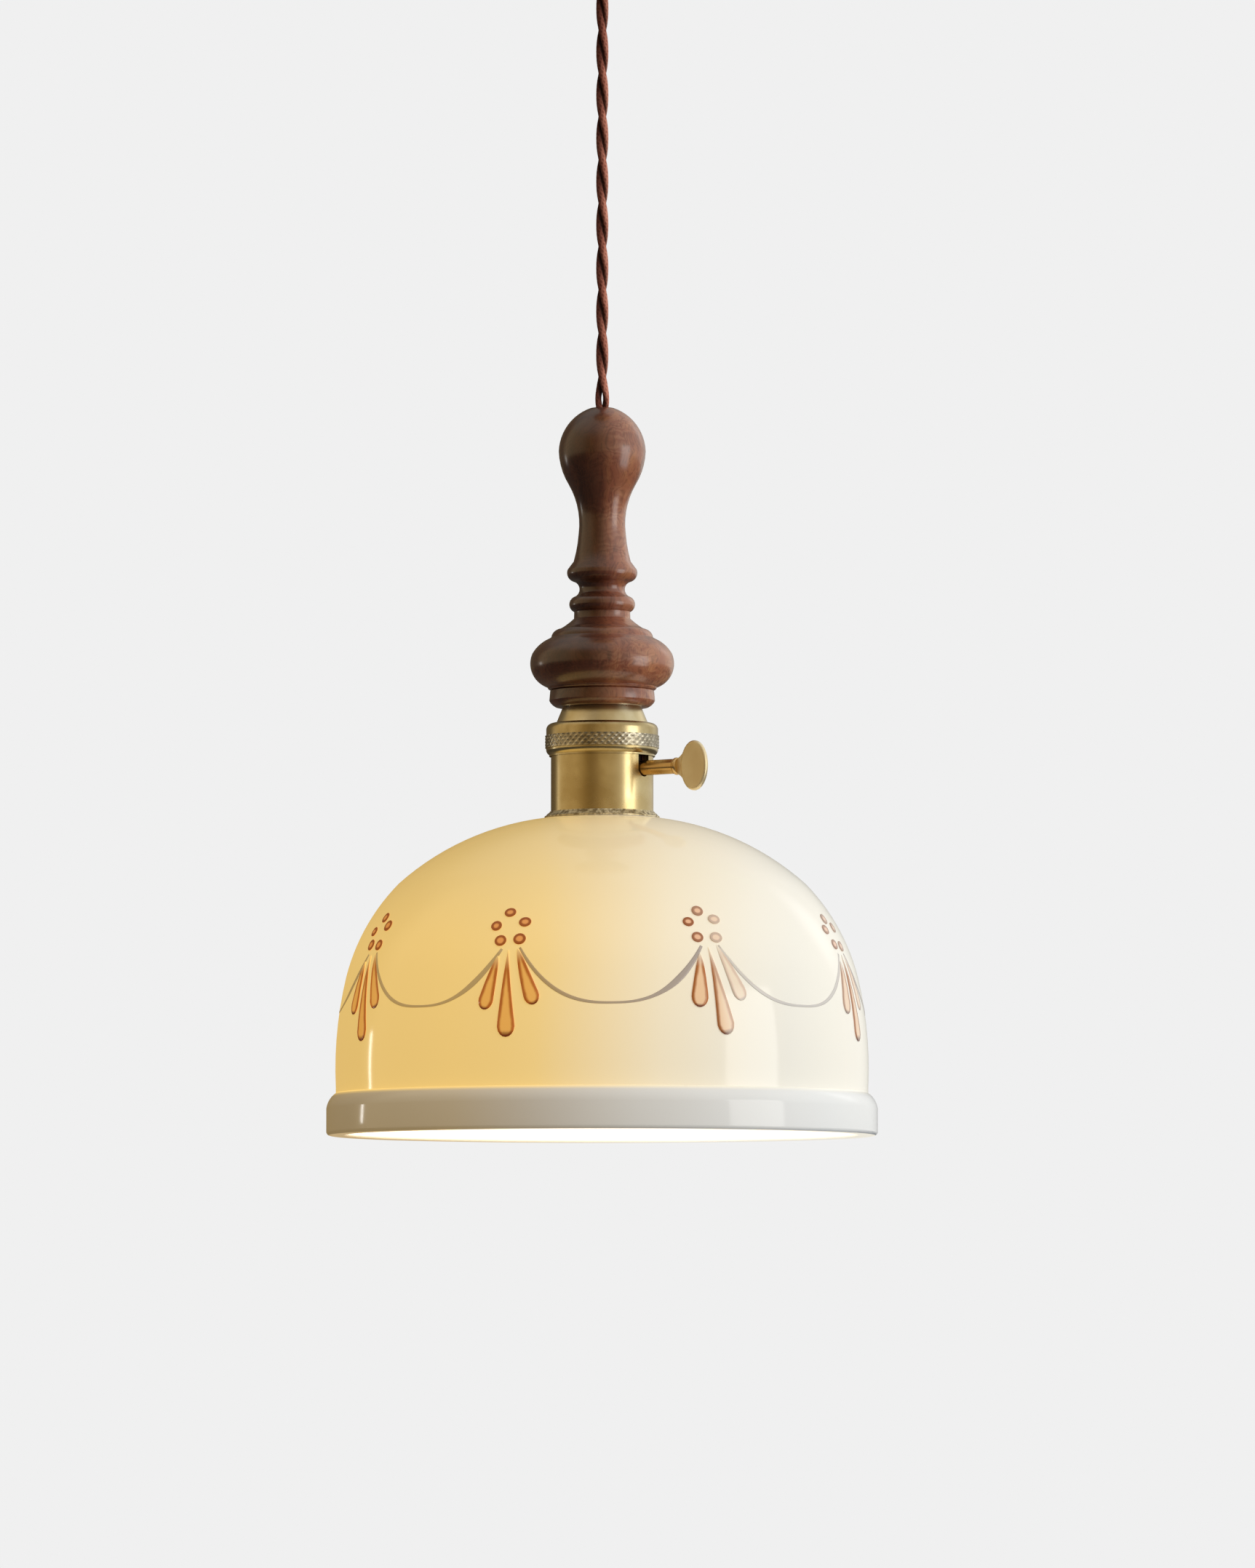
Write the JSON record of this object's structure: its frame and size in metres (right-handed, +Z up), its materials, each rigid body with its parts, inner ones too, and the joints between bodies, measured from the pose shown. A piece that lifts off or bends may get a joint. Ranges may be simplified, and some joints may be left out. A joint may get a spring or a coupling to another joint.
{
  "type": "ceramic pendant light",
  "caption": "Pendant light: a turned wooden handle on a twisted cord carries a brass key-switch lamp holder, a glazed ceramic dome shade and a bulb under a ceiling cup.",
  "frame": {"origin": "middle of the strap's top face, in the ceiling plane, on the lamp's axis", "axes": "+Z up into the ceiling, +X along the strap's two screw slots, the front of the lamp towards -Y; the turn key points to +X turned 35 degrees towards -Y"},
  "size_m": [0.221, 0.221, 0.5095],
  "materials": {
    "strap_steel": "zinc plated",
    "cup_brass": "aged satin",
    "screw_brass": "aged satin",
    "grip_brass": "aged satin",
    "nut_steel": "zinc plated",
    "block_plastic": "matte",
    "cord_fabric": "two twisted strands, silky braid",
    "handle_wood": "dark oiled, turned",
    "insert_brass": "satin",
    "nipple_steel": "zinc plated",
    "holder_brass": "aged satin",
    "liner_fibre": "pressed fibre",
    "body_moulding": "moulded",
    "contact_brass": "bright",
    "stem_brass": "polished",
    "key_brass": "matt lacquered",
    "ring_brass": "aged satin",
    "washer_silicone": "translucent",
    "shade_glaze": "glossy glaze with painted festoons",
    "bulb_metal": "bright",
    "bulb_insulator": "black glass",
    "bulb_opal": "opal",
    "bulb_clear": "clear",
    "filament_phosphor": "coated"
  },
  "bodies": {
    "ceiling": {"ceiling_strap": "strap_steel", "ceiling_cup": "cup_brass", "cup_screws": "screw_brass", "cord_grip": "grip_brass", "grip_nut": "nut_steel", "grip_grub_screw": "nut_steel", "terminal_block": "block_plastic", "terminal_screws": "screw_brass", "cup_cord": "cord_fabric"},
    "cord": {"pendant_cord": "cord_fabric"},
    "lamp": {"wood_handle": "handle_wood", "threaded_insert": "insert_brass", "threaded_nipple": "nipple_steel", "handle_cord": "cord_fabric", "holder_cap": "holder_brass", "knurled_ring": "holder_brass", "holder_shell": "holder_brass", "insulating_liner": "liner_fibre", "switch_body": "body_moulding", "binding_screws": "screw_brass", "screw_shell": "contact_brass", "centre_contact": "contact_brass", "shade_top_ring": "ring_brass", "shade_top_washer": "washer_silicone"},
    "key": {"switch_stem": "stem_brass", "key_collar": "stem_brass", "turn_key": "key_brass"},
    "shade": {"ceramic_shade": "shade_glaze", "shade_under_washer": "washer_silicone", "shade_under_ring": "ring_brass"},
    "bulb": {"bulb_cap": "bulb_metal", "bulb_base": "bulb_insulator", "bulb_tip": "bulb_metal", "bulb_glass": "bulb_opal", "bulb_mount": "bulb_clear", "bulb_filaments": "filament_phosphor"}
  },
  "joints": [
    {"name": "cord_swing", "type": "hinge", "parent": "ceiling", "child": "cord", "pos_m": [0, 0, -0.035], "axis": [0, 1, 0], "range_deg": [-25, 25]},
    {"name": "lamp_tilt", "type": "hinge", "parent": "cord", "child": "lamp", "pos_m": [0, 0, -0.221], "axis": [1, 0, 0], "range_deg": [-15, 15]},
    {"name": "key_turn", "type": "hinge", "parent": "lamp", "child": "key", "pos_m": [0, 0, -0.3624], "axis": [0.8192, -0.5736, 0], "continuous": true},
    {"name": "shade_release", "type": "slide", "parent": "lamp", "child": "shade", "axis": [0, 0, -1], "range_m": [0, 0.0137]},
    {"name": "bulb_release", "type": "slide", "parent": "lamp", "child": "bulb", "axis": [0, 0, -1], "range_m": [0, 0.13]}
  ]
}
